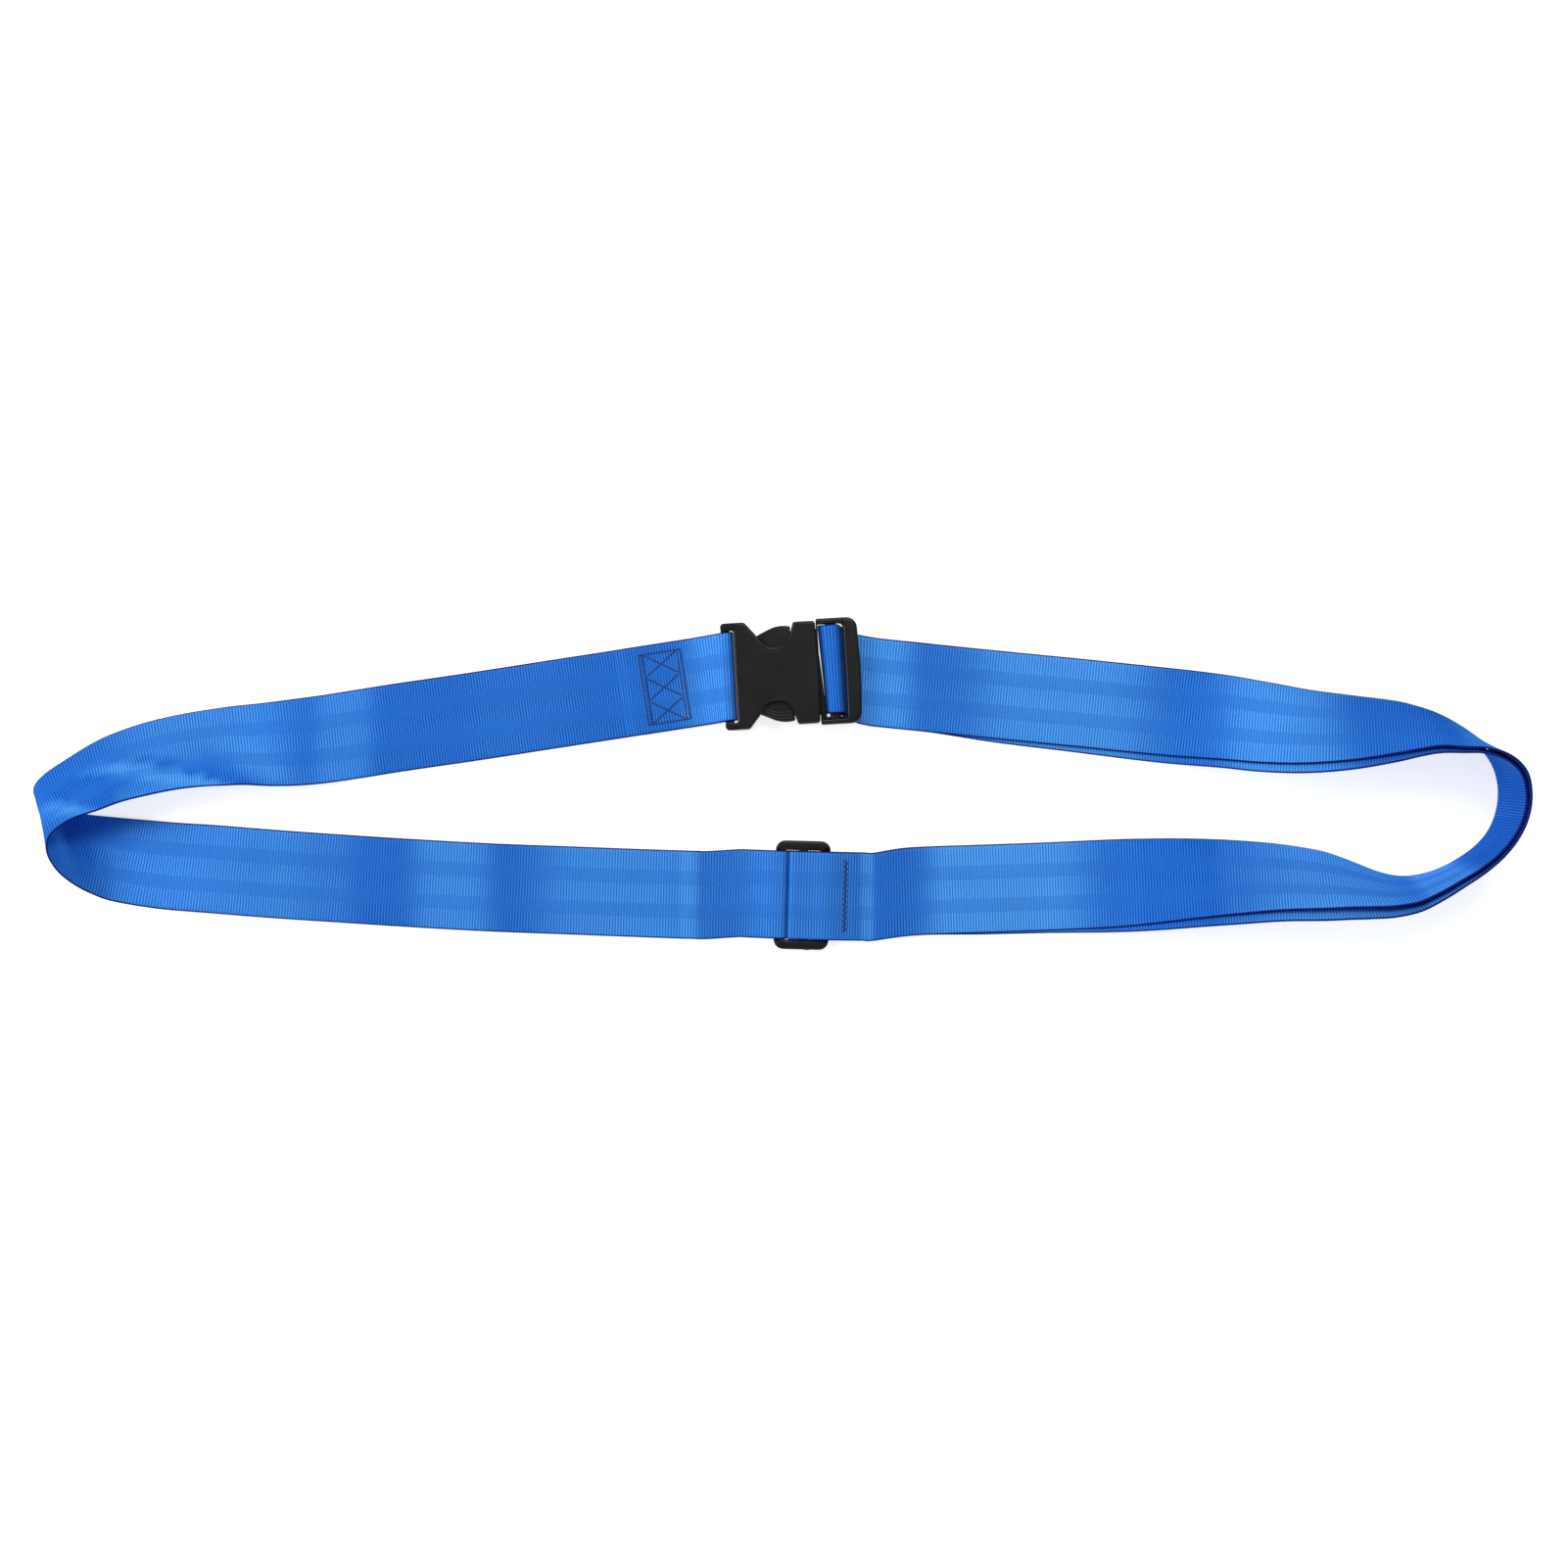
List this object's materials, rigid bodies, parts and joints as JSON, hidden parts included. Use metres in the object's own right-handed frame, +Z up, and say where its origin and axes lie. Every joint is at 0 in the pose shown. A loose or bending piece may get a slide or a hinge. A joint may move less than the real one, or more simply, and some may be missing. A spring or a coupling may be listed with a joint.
{
  "type": "luggage strap",
  "caption": "Webbing loop strap for a suitcase with a side-release buckle and a sliding length adjuster, lying open on a table.",
  "frame": {"origin": "middle of the loop's footprint, on the table it lies on", "axes": "+X along the loop's long direction towards the doubled end, +Y across it towards the buckle, +Z up from the table"},
  "size_m": [0.8293, 0.187, 0.0521],
  "materials": {
    "webbing": "glossy woven polyester with cross ribs and long panels",
    "buckle": "satin black moulded acetal",
    "thread": "twisted navy polyester thread"
  },
  "bodies": {
    "strap": {"socket": "buckle", "webbing_sewn_end": "webbing", "webbing_left_top": "webbing", "webbing_left_bend": "webbing", "webbing_left_bottom": "webbing", "webbing_outer_bottom_right": "webbing", "webbing_outer_bend": "webbing", "webbing_outer_top_right": "webbing", "webbing_inner_top_right": "webbing", "webbing_inner_bend": "webbing", "webbing_inner_bottom_right": "webbing", "box_stitching": "thread"},
    "plug": {"plug": "buckle", "webbing_plug_loop": "webbing"},
    "latch_upper": {"latch_arm_upper": "buckle"},
    "latch_lower": {"latch_arm_lower": "buckle"},
    "slider": {"slider": "buckle", "webbing_slider_pass": "webbing", "webbing_slider_loop": "webbing", "tail_stitching": "thread"}
  },
  "joints": [
    {"name": "plug_slide", "type": "slide", "parent": "strap", "child": "plug", "axis": [0.9983, 0.0576, 0], "range_m": [0, 0.045], "deforming": ["webbing_outer_top_right", "webbing_inner_top_right", "latch_arm_upper", "latch_arm_lower"]},
    {"name": "latch_upper_press", "type": "hinge", "parent": "plug", "child": "latch_upper", "pos_m": [0.0216, 0.08309, 0.0065], "axis": [0, 0, 1], "range_deg": [0, 14], "stiffness_Nm_per_rad": 0.5},
    {"name": "latch_lower_press", "type": "hinge", "parent": "plug", "child": "latch_lower", "pos_m": [0.02396, 0.04215, 0.0065], "axis": [0, 0, 1], "range_deg": [-14, 0], "stiffness_Nm_per_rad": 0.5},
    {"name": "slider_travel", "type": "slide", "parent": "strap", "child": "slider", "axis": [0.9997, -0.0262, 0], "range_m": [-0.06, 0.06], "deforming": ["webbing_left_bottom", "webbing_outer_bottom_right", "webbing_inner_bottom_right"]}
  ]
}
